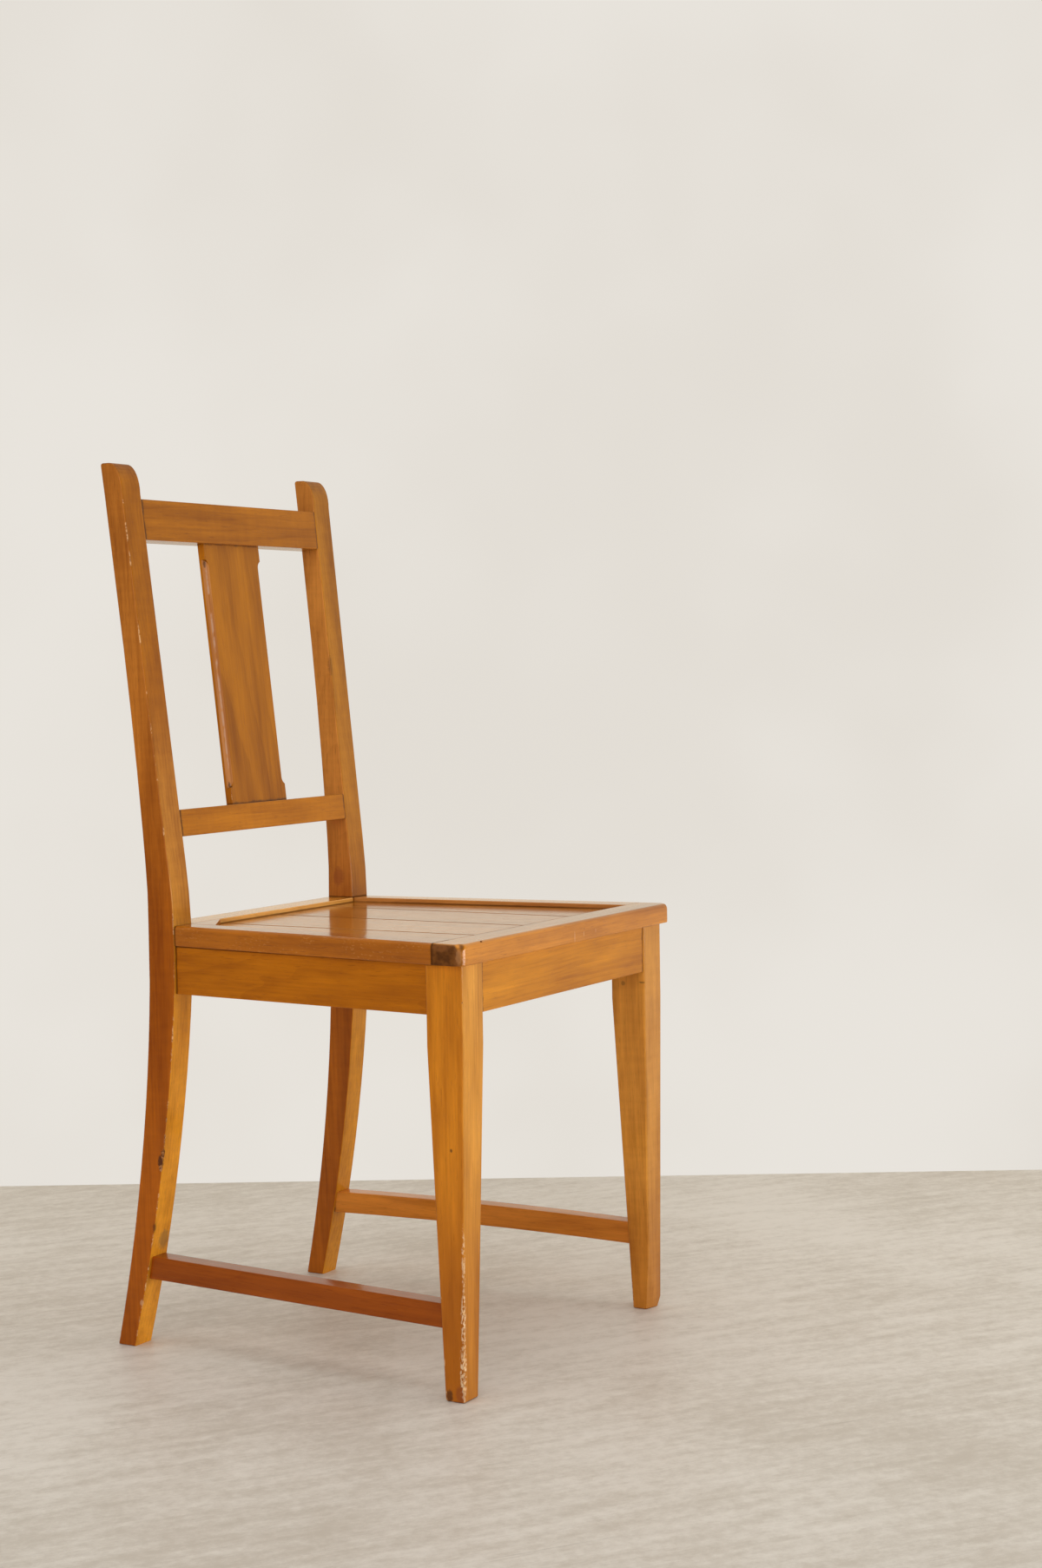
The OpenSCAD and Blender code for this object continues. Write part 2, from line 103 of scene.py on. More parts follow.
def copy_of(node, name):
    """A copy of one CAD solid, merged, with each flat face made whole."""
    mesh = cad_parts[node].data.copy()
    mesh.materials.clear()
    made = new_piece(name, mesh)
    only(made)
    bpy.ops.object.mode_set(mode="EDIT")
    bpy.ops.mesh.select_all(action="SELECT")
    bpy.ops.mesh.customdata_custom_splitnormals_clear()
    bpy.ops.mesh.remove_doubles(threshold=MERGE_WITHIN)
    bpy.ops.mesh.dissolve_limited(angle_limit=FLAT_WITHIN)
    bpy.ops.object.mode_set(mode="OBJECT")
    return made


def pare(piece, one, two, three):
    """Pares off a worn facet along the plane through three points, on the side away from the middle."""
    facing = (two - one).cross(three - one).normalized()
    middle = sum((v.co for v in piece.data.vertices), Vector()) / len(piece.data.vertices)
    if facing.dot(middle - one) > 0:
        facing = -facing
    only(piece)
    bpy.ops.object.mode_set(mode="EDIT")
    bpy.ops.mesh.select_all(action="SELECT")
    bpy.ops.mesh.bisect(plane_co=one, plane_no=facing, clear_outer=True, use_fill=True)
    bpy.ops.object.mode_set(mode="OBJECT")


def is_mortise_mouth(tree, middle, one, other):
    """Whether the face 'other' looks across a narrow hole just inside this edge."""
    inset, lift, mouth = 0.0012, 0.0002, 0.06
    return tree.ray_cast(middle - one * inset + other * lift, other, mouth)[0] is not None


def is_on_tenon(tree, middle, one, other, grain):
    """Whether a shoulder stands up beside this edge, a short way along the grain."""
    lift, tenon_length = 0.0015, 0.035
    start = middle + (one + other) * lift
    return any(tree.ray_cast(start, grain * side, tenon_length)[0] is not None for side in (1, -1))


def is_wanted(edge, grain, runs):
    """Whether an edge runs the way that is eased: with the grain, round a side's outline, or any way."""
    one, two = edge.verts[0].co, edge.verts[1].co
    way = (two - one).normalized()
    on_floor = one.z < 0.0005 and two.z < 0.0005
    if runs == "all" or on_floor:
        return True
    return abs(way.x) < 0.3 if runs == "outline" else abs(way.dot(grain)) > 0.8


def select_arrises(piece, grain, runs, tenoned):
    """Selects a piece's outer arrises, leaves out mortises and tenons, and says whether there are any."""
    bm = bmesh.from_edit_mesh(piece.data)
    tree = BVHTree.FromBMesh(bm)
    chosen = []
    for edge in bm.edges:
        if len(edge.link_faces) != 2 or not edge.is_convex or edge.calc_face_angle(0) < ARRIS_FROM:
            continue
        if not is_wanted(edge, grain, runs):
            continue
        middle = (edge.verts[0].co + edge.verts[1].co) / 2
        one, other = (face.normal for face in edge.link_faces)
        if is_mortise_mouth(tree, middle, one, other) or is_mortise_mouth(tree, middle, other, one):
            continue
        if tenoned and is_on_tenon(tree, middle, one, other, grain):
            continue
        chosen.append(edge)
    for face in bm.faces:
        face.select = False
    for edge in bm.edges:
        edge.select = False
    for edge in chosen:
        edge.select_set(True)
    bmesh.update_edit_mesh(piece.data)
    return bool(chosen)


def ease(piece, grain, width, runs, tenoned):
    """Rounds the arrises as long handling has, and keeps the rounded faces on a slot of their own."""
    only(piece)
    bpy.ops.object.mode_set(mode="EDIT")
    bpy.ops.mesh.select_mode(type="EDGE")
    if select_arrises(piece, grain, runs, tenoned):
        bpy.ops.mesh.bevel(offset=width, segments=3, profile=0.5, affect="EDGES", clamp_overlap=False,
                           material=1)
    bpy.ops.object.mode_set(mode="OBJECT")


def chip(piece, places, seed):
    """Knocks small ragged chips out of a piece; a place is (centre, radii)."""
    rng = random.Random(seed)
    cutters = []
    for centre, radii in places:
        bpy.ops.object.select_all(action="DESELECT")
        bpy.ops.mesh.primitive_ico_sphere_add(subdivisions=2, radius=1, location=(0, 0, 0))
        cutter = bpy.context.object
        for point in cutter.data.vertices:
            lump = rng.uniform(0.72, 1.18)
            point.co = centre + Vector([c * r * lump for c, r in zip(point.co, radii)])
        cutter.data.materials.append(chip_marker)
        cutters.append(cutter)
    bpy.ops.object.select_all(action="DESELECT")
    for cutter in cutters:
        cutter.select_set(True)
    bpy.context.view_layer.objects.active = cutters[0]
    if len(cutters) > 1:
        bpy.ops.object.join()
    cutter = bpy.context.view_layer.objects.active
    only(piece)
    cut = piece.modifiers.new("chips", "BOOLEAN")
    cut.operation = "DIFFERENCE"
    cut.solver = "EXACT"
    cut.material_mode = "TRANSFER"
    cut.object = cutter
    bpy.ops.object.modifier_apply(modifier=cut.name)
    bpy.data.objects.remove(cutter)


def quarter_turn(steps):
    """The angles of a quarter turn, from 0 to a right angle."""
    return [math.pi / 2 * step / steps for step in range(steps + 1)]


def worn_front_board(node, name):
    """The front board, with its rounded edge carried round both corners and worn fuller there."""
    low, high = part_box(node)
    corner, edge, worn, foot = 0.009, 0.004, 0.0085, 0.001      # the radii of what is rounded

    # the outline from the left heel to the right one, each point with its way out and its edge rounding
    outline = [(side_board_out, side_board_front, 1.0, 0.0, edge)]
    for angle in quarter_turn(12):
        out_x, out_y = math.cos(angle), -math.sin(angle)
        fuller = edge + (worn - edge) * math.sin(2 * angle) ** 2
        outline.append((high.x - corner + corner * out_x, low.y + corner + corner * out_y,
                        out_x, out_y, fuller))
    outline += [(-x, y, -out_x, out_y, rounding) for x, y, out_x, out_y, rounding in reversed(outline)]

    # one section at each point: eased below, rounded above
    bm = bmesh.new()
    rings = []
    for x, y, out_x, out_y, rounding in outline:
        section = [(foot * (1 - math.sin(angle)), low.z + foot * (1 - math.cos(angle)))
                   for angle in quarter_turn(3)]
        section += [(rounding * (1 - math.cos(angle)), high.z - rounding + rounding * math.sin(angle))
                    for angle in quarter_turn(7)]
        rings.append([bm.verts.new((x - out_x * inset, y - out_y * inset, z)) for inset, z in section])
    for one, other in zip(rings, rings[1:]):
        for step in range(len(one) - 1):
            bm.faces.new((one[step], one[step + 1], other[step + 1], other[step]))
    bm.faces.new([ring[0] for ring in rings])
    bm.faces.new([ring[-1] for ring in reversed(rings)])
    bm.faces.new(rings[0] + rings[-1][::-1])
    bmesh.ops.recalc_face_normals(bm, faces=bm.faces)
    mesh = bpy.data.meshes.new(name)
    bm.to_mesh(mesh)
    bm.free()
    return new_piece(name, mesh)


def note_wear(piece, grain):
    """Writes where the arrises, chips, end grain and chamfers are, for the finish, and evens the shading."""
    mesh = piece.data
    kinds = [mesh.materials[p.material_index] for p in mesh.polygons]
    inside = np.ones(len(mesh.vertices), bool)
    for polygon, kind in zip(mesh.polygons, kinds):
        if kind == flat_marker:
            inside[list(polygon.vertices)] = False
    marks = {name: np.zeros(len(mesh.loops), np.float32)
             for name in ("arris", "broken", "end_grain", "chamfer")}
    for polygon, kind in zip(mesh.polygons, kinds):
        across = abs(polygon.normal.dot(grain))
        sloped = min(abs(polygon.normal.x), abs(polygon.normal.y)) > 0.35
        for corner in polygon.loop_indices:
            vertex = mesh.loops[corner].vertex_index
            marks["arris"][corner] = kind == eased_marker and inside[vertex]
            marks["broken"][corner] = kind == chip_marker
            marks["end_grain"][corner] = min(1.0, max(0.0, (across - 0.35) / 0.4))
            marks["chamfer"][corner] = kind == flat_marker and sloped
    for name, values in marks.items():
        mesh.attributes.new(name, "FLOAT", "CORNER").data.foreach_set("value", values)
    mesh.polygons.foreach_set("material_index", np.zeros(len(mesh.polygons), np.int32))
    mesh.materials.clear()
    only(piece)
    bpy.ops.object.shade_smooth_by_angle(angle=SMOOTH_WITHIN, keep_sharp_edges=False)
    even = piece.modifiers.new("even shading", "WEIGHTED_NORMAL")
    even.keep_sharp = True
    bpy.ops.object.modifier_apply(modifier=even.name)


# ---------------------------------------------------------------- material nodes

COLOUR_A, COLOUR_B, COLOUR_OUT = 6, 7, 2      # the colour sockets of a Mix node


def rgb(r, g, b):
    return (r, g, b, 1.0)


class Finish:
    """One material, with short calls for its nodes."""

    def __init__(self, name):
        self.material = bpy.data.materials.new(name)
        self.material.use_nodes = True
        self.tree = self.material.node_tree
        self.shader = self.tree.nodes["Principled BSDF"]

    def add(self, kind, inputs=None, **settings):
        made = self.tree.nodes.new(kind)
        for key, value in settings.items():
            setattr(made, key, value)
        for key, value in (inputs or {}).items():
            self.feed(made.inputs[key], value)
        return made

    def feed(self, socket, value):
        if isinstance(value, bpy.types.NodeSocket):
            self.tree.links.new(value, socket)
        else:
            socket.default_value = value

    def place(self):
        """Where a point is, in the frame."""
        return self.add("ShaderNodeTexCoord").outputs["Object"]

    def attribute(self, name):
        return self.add("ShaderNodeAttribute", attribute_name=name, attribute_type="GEOMETRY").outputs["Fac"]

    def maths(self, operation, one, other=0.0, clamp=False):
        return self.add("ShaderNodeMath", {0: one, 1: other}, operation=operation, use_clamp=clamp).outputs[0]

    def plus(self, one, other, clamp=False):
        return self.maths("ADD", one, other, clamp)

    def minus(self, one, other, clamp=False):
        return self.maths("SUBTRACT", one, other, clamp)

    def times(self, one, other):
        return self.maths("MULTIPLY", one, other)

    def apart(self, one, other):
        """The distance between two values."""
        return self.maths("ABSOLUTE", self.minus(one, other))

    def sway(self, value, noise, amount):
        """A value moved up and down by a noise."""
        return self.plus(value, self.times(self.minus(noise, 0.5), amount))

    def vector(self, operation, one, other=(0, 0, 0)):
        return self.add("ShaderNodeVectorMath", {0: one, 1: other}, operation=operation).outputs[0]

    def scaled(self, vector, by):
        return self.vector("MULTIPLY", vector, by)

    def part(self, vector, axis):
        return self.add("ShaderNodeSeparateXYZ", {0: vector}).outputs["xyz".index(axis)]

    def noise(self, vector, scale, detail=3.0, roughness=0.55, out="Fac"):
        made = self.add("ShaderNodeTexNoise", {"Vector": vector, "Scale": scale, "Detail": detail,
                                               "Roughness": roughness})
        return made.outputs[out]

    def streaks(self, sawn, across, along, detail=3.0, roughness=0.55, out="Fac"):
        """Noise drawn out along the grain."""
        return self.noise(self.scaled(sawn, (across, across, along)), 1.0, detail, roughness, out)

    def ramp(self, value, low, high, to_low=0.0, to_high=1.0):
        made = self.add("ShaderNodeMapRange", {"Value": value, "From Min": low, "From Max": high,
                                               "To Min": to_low, "To Max": to_high},
                        interpolation_type="SMOOTHSTEP")
        return made.outputs["Result"]

    def mix(self, factor, one, other, blend="MIX"):
        made = self.add("ShaderNodeMix", data_type="RGBA", blend_type=blend)
        self.feed(made.inputs["Factor"], factor)
        self.feed(made.inputs[COLOUR_A], one)
        self.feed(made.inputs[COLOUR_B], other)
        return made.outputs[COLOUR_OUT]

    def spot(self, place, centre, radii):
        """1 at the centre of a mark and 0 past its radii, with a ragged edge."""
        ragged = 0.7
        near = self.scaled(self.vector("SUBTRACT", place, centre), tuple(1 / r for r in radii))
        far = self.add("ShaderNodeVectorMath", {0: near}, operation="LENGTH").outputs["Value"]
        far = self.sway(far, self.noise(place, 420.0, 2.0), ragged)
        return self.ramp(far, 0.55, 1.05, 1.0, 0.0)

    def bump(self, relief, strength, depth):
        made = self.add("ShaderNodeBump", {"Height": relief, "Strength": strength, "Distance": depth})
        return made.outputs[0]


# ---------------------------------------------------------------- varnished beech

DARKER = (0.66, 0.58, 0.50)
LIGHTER = (1.30, 1.40, 1.60)
PORE = (0.42, 0.34, 0.30)
RAY = rgb(0.68, 0.30, 0.07)
SOAKED_DARK = rgb(0.07, 0.022, 0.006)
SOAKED_LIGHT = rgb(0.17, 0.055, 0.012)
# dark lines at the joints: dirt and painted shade
SHOULDER_DIRT_AND_SHADE = rgb(0.07, 0.026, 0.008)
JOINT_DIRT_AND_SHADE = rgb(0.045, 0.016, 0.006)
CHAMFER_DARK = rgb(0.42, 0.155, 0.045)
CHAMFER_LIGHT = rgb(0.62, 0.275, 0.10)
CHAMFER_RUB = rgb(0.62, 0.40, 0.29)
BARE_DARK = rgb(0.30, 0.10, 0.03)
BARE_LIGHT = rgb(0.85, 0.52, 0.24)
BROKEN_DARK = rgb(0.10, 0.032, 0.010)
BROKEN_LIGHT = rgb(0.55, 0.25, 0.09)
MARKS = {"dark": rgb(0.045, 0.018, 0.010), "red": rgb(0.26, 0.055, 0.018), "pale": rgb(0.66, 0.36, 0.17),
         "grey": rgb(0.20, 0.115, 0.035), "bare": rgb(0.36, 0.13, 0.045), "worn": rgb(0.55, 0.25, 0.09),
         "cream": rgb(0.90, 0.66, 0.40)}
WAVE_PERIOD = 0.314       # how far apart a Wave texture's rings are at scale 1


def long_axis(made, grain):
    """The direction that a piece was sawn along: its own long axis where that is near the grain's."""
    points = np.array([v.co for v in made.data.vertices])
    main = Vector(np.linalg.svd(points - points.mean(0))[2][0])
    if main.dot(AXES[grain]) < 0:
        main = -main
    return main if main.dot(AXES[grain]) > 0.95 else AXES[grain]


def shoulder_reach(made, turn, centre):
    """How far from its middle a tenoned piece's shoulders stand: as far as its outer faces run."""
    points = np.abs(np.array([turn @ (v.co - centre) for v in made.data.vertices]))
    outer = (points[:, :2] > points[:, :2].max(0) - 0.0004).any(1)
    return float(points[outer, 2].max())


def shade(tone, by):
    return rgb(*[min(1, part * share) for part, share in zip(tone, by)])


def growth_rings(f, wander, tilt, spacing):
    """The dark late wood of each ring."""
    leaning = f.add("ShaderNodeMapping", {"Vector": wander, "Rotation": (tilt[0], tilt[1], 0)}).outputs[0]
    rings = f.add("ShaderNodeTexWave", {"Vector": leaning, "Scale": WAVE_PERIOD / spacing, "Distortion": 0.0},
                  wave_type="RINGS", rings_direction="Z", wave_profile="SAW").outputs["Fac"]
    return f.ramp(rings, 0.6, 1.0)


def lightness(f, sawn, fibre, rings, figure, curl):
    """How light the wood is, from 0 to 1: fibres, soft mottle, broad changes, rings and cross bands."""
    value = f.sway(0.5, fibre, 0.75)
    value = f.sway(value, f.streaks(sawn, 55.0, 9.0, 3.0, 0.6), 1.35)
    value = f.sway(value, f.streaks(sawn, 14.0, 3.0, 2.0, 0.5), 1.25)
    value = f.minus(value, f.times(rings, 0.42 * figure))
    if curl:
        value = f.sway(value, f.streaks(sawn, 26.0, 150.0, 2.0, 0.5), curl)
    return f.plus(value, 0.1 * figure, clamp=True)


def varnished(f, place, value, tone, low_tone, tone_span):
    """The varnish colour, from its darker to its lighter shade, with another tone lower down."""
    shades = [shade(tone, by) for by in (DARKER, LIGHTER)]
    if low_tone:
        blend = f.ramp(f.part(place, "z"), *tone_span)
        shades = [f.mix(blend, shade(low_tone, by), high) for by, high in zip((DARKER, LIGHTER), shades)]
    return f.mix(value, *shades)


def painted_window_light(f, place, colour, tint, low_painted_light, span):
    """The colour with painted light and shade: the tint on faces turned to the window, and the low tint lower
    down.
    """
    normal = f.add("ShaderNodeNewGeometry").outputs["Normal"]
    facing = f.ramp(f.part(normal, "y"), -0.95, -0.45, 1.0, 0.0)
    tint = f.mix(f.ramp(f.part(place, "z"), *span), rgb(*(low_painted_light or tint)), rgb(*tint))
    return f.mix(facing, colour, f.mix(1.0, colour, tint, "MULTIPLY"))


def pale_rays(f, sawn, wander):
    """Pale wavy rays, in patches, where the board was cut near its middle."""
    patch = f.ramp(f.streaks(sawn, 30.0, 14.0, 2.0), 0.42, 0.60)
    return f.times(f.ramp(f.streaks(wander, 620.0, 260.0, 1.5, 0.5), 0.58, 0.68), patch)


def shoulder_dirt_and_shade(f, place, sawn, middle, reach):
    """Dirt and painted shade where a tenoned piece's shoulders meet the next piece."""
    ragged = f.times(f.noise(place, 110.0, 2.0), 0.0045)
    length = f.plus(f.apart(f.part(sawn, "z"), middle), ragged)
    return f.ramp(length, reach - 0.0010, reach + 0.0018, 0.0, 0.75)


def joint_dirt_and_shade(f, place, bands):
    """Dirt and painted shade where all of a joint's bands (axis, place, reach) cross."""
    dirt_and_shade = 0.75
    for axis, at, reach in bands:
        ragged = f.plus(f.times(f.noise(place, 90.0, 2.0), reach * 1.2), reach * 0.7)
        dirt_and_shade = f.times(dirt_and_shade, f.ramp(f.apart(f.part(place, axis), at), reach * 0.3, ragged, 1.0, 0.0))
    return dirt_and_shade


def golden_chamfer(f, place, fibre, middle, border):
    """The colour of a chamfer: golden, with a thin greyish pink rub along its inner border."""
    gold = f.mix(f.ramp(fibre, 0.35, 0.65), CHAMFER_DARK, CHAMFER_LIGHT)
    inner = f.apart(f.apart(f.part(place, "x"), middle), border)
    patch = f.ramp(f.streaks(place, 60.0, 45.0, 3.0, 0.6), 0.44, 0.58)
    rub = f.times(f.ramp(inner, 0.0003, 0.0011, 1.0, 0.0), patch)
    return f.mix(f.times(rub, 0.8), gold, CHAMFER_RUB)


def marked(f, place, colour, corner, marks):
    """The colour with its marks, each (kind, place from the corner, radii, strength)."""
    for kind, at, radii, strength in marks:
        shape = f.times(f.spot(place, corner + Vector(at), radii), strength)
        if kind == "cream":     # broken into flakes
            flakes = f.noise(f.scaled(place, (1.0, 1.0, 0.45)), 620.0, 2.0)
            shape = f.times(shape, f.ramp(flakes, 0.46, 0.56))
        colour = f.mix(shape, colour, MARKS[kind])
    return colour


def rubbed_arrises(f, place, sawn, wear, wear_low):
    """Where the arrises are rubbed through the varnish, more where a foot is kicked."""
    rub = f.plus(f.times(f.streaks(sawn, 60.0, 34.0, 3.0, 0.6), 0.62),
                 f.times(f.streaks(sawn, 380.0, 210.0, 3.0, 0.7), 0.38))
    share = f.ramp(f.part(place, "z"), 0.0, wear_low[0], wear_low[1], wear) if wear_low else wear
    limit = f.minus(0.78, f.times(share, 0.42))
    return f.times(f.ramp(f.minus(rub, limit), -0.01, 0.05), f.attribute("arris"))


def polish(f, place, worn, sound, coat, dull, gloss):
    """The varnish: semi-gloss, duller where it is worn, and gone where it isn't sound."""
    rough = f.ramp(f.noise(place, 35.0, 3.0), 0.3, 0.7, 0.40 + dull, 0.52 + dull)
    f.feed(f.shader.inputs["Roughness"], f.plus(rough, f.times(worn, 0.25), clamp=True))
    if coat:
        f.feed(f.shader.inputs["Coat Weight"], sound)
    f.shader.inputs["Coat Roughness"].default_value = 0.13 + 0.5 * dull
    f.shader.inputs["Coat IOR"].default_value = gloss
    f.shader.inputs["Specular IOR Level"].default_value = 0.03


def beech(name, node, made, grain, tone, seed, tenoned=False, low_tone=None, tone_span=(0.1, 0.5),
          front_tint=None, front_tint_low=None, tint_span=(0.33, 0.60), figure=0.5, pith=(0.09, 0.05),
          tilt=(0.02, 0.015), spacing=0.0045, curl=0.0, flecks=0.4, rays=0.0, end_tone=0.5, joints=(),
          chamfer=None, marks=(), wear=0.3, wear_low=None, coat=True, dull=0.0, gloss=1.24):
    """Varnished beech for one piece, sawn along the axis 'grain'.

    Colour: tone, or low_tone below the heights tone_span; front_tint is painted light and shade, multiplying
    the faces turned to the window, or front_tint_low below the heights tint_span.
    Figure: figure is the rings' strength, pith the heart of the rings beside the piece, tilt how far they
    run out, spacing how far apart they are, curl the cross bands, flecks the dark pores, rays the pale rays.
    Dirt: end_tone is how dark the end grain is, and joints are dark lines of dirt and painted shade, each the
    bands of joint_dirt_and_shade.
    Wear: chamfer is how far the chamfers' inner borders are from the middle, marks are as marked() takes
    them, wear is the share of the arrises rubbed pale, and wear_low a (height, share) for a worn lower end.
    Varnish: coat says if there is any, dull how far it has lost its polish, gloss is its refractive index."""
    f = Finish(name)
    low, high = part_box(node)
    centre = (low + high) / 2
    middle = 0.37 * seed        # each piece comes from its own length of the log
    turn = long_axis(made, grain).rotation_difference(AXES["z"]).to_matrix()
    shift = -(turn @ centre) + Vector((pith[0], pith[1], middle))

    # the place on the chair, the same place with the grain along z, and that wandering a little
    place = f.place()
    sawn = f.add("ShaderNodeMapping", {"Vector": place, "Location": shift, "Rotation": turn.to_euler()},
                 vector_type="POINT").outputs[0]
    drift = f.vector("SUBTRACT", f.streaks(sawn, 11.0, 2.6, 3.0, 0.5, "Color"), (0.5, 0.5, 0.5))
    wander = f.vector("ADD", f.scaled(drift, (0.03, 0.03, 0.0)), sawn)

    # the wood
    fibre = f.streaks(sawn, 420.0, 7.0, 4.0, 0.6)
    pores = f.ramp(f.streaks(sawn, 1500.0, 75.0, 1.0, 0.5), 0.63, 0.74)
    value = lightness(f, sawn, fibre, growth_rings(f, wander, tilt, spacing), figure, curl)
    colour = varnished(f, place, value, tone, low_tone, tone_span)
    # painted light and shade: faces turned to the window made lighter or darker, by height
    if front_tint:
        colour = painted_window_light(f, place, colour, front_tint, front_tint_low, tint_span)
    colour = f.mix(f.times(pores, flecks), colour, shade(tone, PORE))
    if rays:
        colour = f.mix(f.times(pale_rays(f, sawn, wander), rays), colour, RAY)

    # end grain drinks the varnish and goes dark, and the coat is lost there and where a joint's dirt and
    # painted shade lie
    end = f.attribute("end_grain")
    soaked = f.mix(f.ramp(f.noise(place, 130.0, 3.0), 0.35, 0.62), SOAKED_DARK, SOAKED_LIGHT)
    colour = f.mix(f.times(end, end_tone), colour, soaked)
    sound = f.minus(1.0, f.times(end, 0.75))
    if tenoned:
        dirt_and_shade = shoulder_dirt_and_shade(f, place, sawn, middle, shoulder_reach(made, turn, centre))
        colour = f.mix(dirt_and_shade, colour, SHOULDER_DIRT_AND_SHADE)
    for bands in joints:
        dirt_and_shade = joint_dirt_and_shade(f, place, bands)
        colour = f.mix(dirt_and_shade, colour, JOINT_DIRT_AND_SHADE)
        sound = f.times(sound, f.minus(1.0, f.times(dirt_and_shade, 1.3), clamp=True))

    # wear
    if chamfer:
        gold = golden_chamfer(f, place, fibre, centre.x, chamfer)
        colour = f.mix(f.times(f.attribute("chamfer"), 0.8), colour, gold)
    colour = marked(f, place, colour, low, marks)
    rubbed = rubbed_arrises(f, place, sawn, wear, wear_low)
    bare = f.mix(f.ramp(f.noise(place, 320.0, 2.0), 0.35, 0.6), BARE_DARK, BARE_LIGHT)
    colour = f.mix(f.times(rubbed, 0.8), colour, bare)
    broken = f.attribute("broken")
    raw = f.mix(f.ramp(f.noise(place, 420.0, 2.0), 0.4, 0.6), BROKEN_DARK, BROKEN_LIGHT)
    f.feed(f.shader.inputs["Base Color"], f.mix(f.times(broken, 0.9), colour, raw))
    polish(f, place, f.maths("MAXIMUM", rubbed, broken), sound, coat, dull, gloss)

    # fibres, pores and slow waves under the varnish
    relief = f.plus(f.times(fibre, 0.6), f.times(pores, -0.5))
    relief = f.plus(relief, f.times(f.noise(place, 60.0, 2.0), 1.4))
    relief = f.minus(relief, f.times(rubbed, 0.6))
    f.feed(f.shader.inputs["Normal"], f.bump(relief, 0.35, 0.0006))
    f.feed(f.shader.inputs["Coat Normal"], f.bump(relief, 0.16, 0.0004))
    return f.material


# ---------------------------------------------------------------- the pieces

AMBER = (0.45, 0.132, 0.006)
RAW = (0.42, 0.27, 0.14)
SEAT_GLOSS = 1.42
# painted shade: a dark band just under the seat board's overhang, on the legs and aprons
shade_under_board = (("z", seat_under, 0.0016),)
# painted shade: a dark line at the foot of the seat well's walls, where they meet the slats
shade_at_well_foot = ("z", slat_top + 0.0002, 0.0011)


def piece(node, grain, slot, tone, seed, width=0.0, runs="grain", tenoned=False, chips=(), pared=(),
          shaped=copy_of, **looks):
    """Makes the finished piece for a CAD node: its shape, eased arrises of this width, chips and finish.

    The places of chips, pared facets and marks are measured from the lowest corner of the node's box."""
    made = shaped(node, node + "_finished")
    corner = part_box(node)[0]
    for facet in pared:
        pare(made, *[corner + Vector(point) for point in facet])
    if width:
        ease(made, AXES[grain], width, runs, tenoned)
    if chips:
        chip(made, [(corner + Vector(at), radii) for at, radii in chips], seed)
    note_wear(made, AXES[grain])
    finish = beech(node + "_varnish", node, made, grain, tone, seed, tenoned=tenoned, **looks)
    made.data.materials.append(finish)
    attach(made, "root")
    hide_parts(node)


def rail(node, grain, tone, seed, width=0.0010, figure=0.3, **looks):
    """A rail or stretcher of the frame, tenoned at both ends."""
    piece(node, grain, "frame_wood", tone, seed, width, tenoned=True, figure=figure, **looks)


def seat_board(node, grain, tone, seed, width=0.0010, gloss=SEAT_GLOSS, **looks):
    """A board or slat of the seat, polished by use."""
    piece(node, grain, "seat_wood", tone, seed, width, gloss=gloss, **looks)


# rear posts, one sawn curve each
piece("rear_post_right", "z", "frame_wood", (0.54, 0.175, 0.020), seed=1, width=0.0014, runs="outline",
      # the rubbed arrises here are real wear and, along the front arris, also a painted highlight
      figure=0.3, curl=0.3, wear=0.62, wear_low=(0.25, 0.6),
      low_tone=(0.45, 0.106, 0.003), tone_span=(0.33, 0.78),
      # painted light and shade: faces turned to the window darkened high up and lightened low down
      front_tint=(0.74, 0.73, 0.14), front_tint_low=(1.56, 2.6, 5.1), tint_span=(0.35, 0.68),
      chips=[((0.0046, 0.0122, 0.2324), (0.0016, 0.0020, 0.0036)),
             ((0.0045, 0.0146, 0.2160), (0.0014, 0.0016, 0.0030)),
             ((0.0043, 0.0170, 0.1975), (0.0026, 0.0030, 0.0066)),
             ((0.0041, 0.0202, 0.1840), (0.0020, 0.0030, 0.0046))],
      marks=[("dark", (0.0043, 0.0208, 0.1905), (0.004, 0.004, 0.007), 0.8),
             ("dark", (0.0036, 0.0282, 0.1218), (0.003, 0.004, 0.008), 0.7),
             ("grey", (0.0220, 0.0343, 0.1085), (0.010, 0.012, 0.012), 0.55),
             ("pale", (0.0026, 0.0465, 0.0451), (0.002, 0.003, 0.004), 0.7)])
piece("rear_post_left", "z", "frame_wood", (0.58, 0.205, 0.030), seed=2, width=0.0014, runs="outline",
      figure=0.3, curl=0.3, wear=0.25, low_tone=(0.46, 0.118, 0.006), tone_span=(0.30, 0.55),
      # painted light and shade: faces turned to the window darkened above the seat and lightened below it
      front_tint=(0.68, 0.69, 0.26), front_tint_low=(1.34, 2.05, 1.9), tint_span=(0.28, 0.40),
      joints=[(("z", seat_top + 0.0003, 0.0010),)],
      marks=[("dark", (0.0050, 0.0252, 0.6834), (0.004, 0.006, 0.014), 0.35),
             ("red", (0, 0.0186, 0.4500), (0.008, 0.008, 0.012), 0.45)])

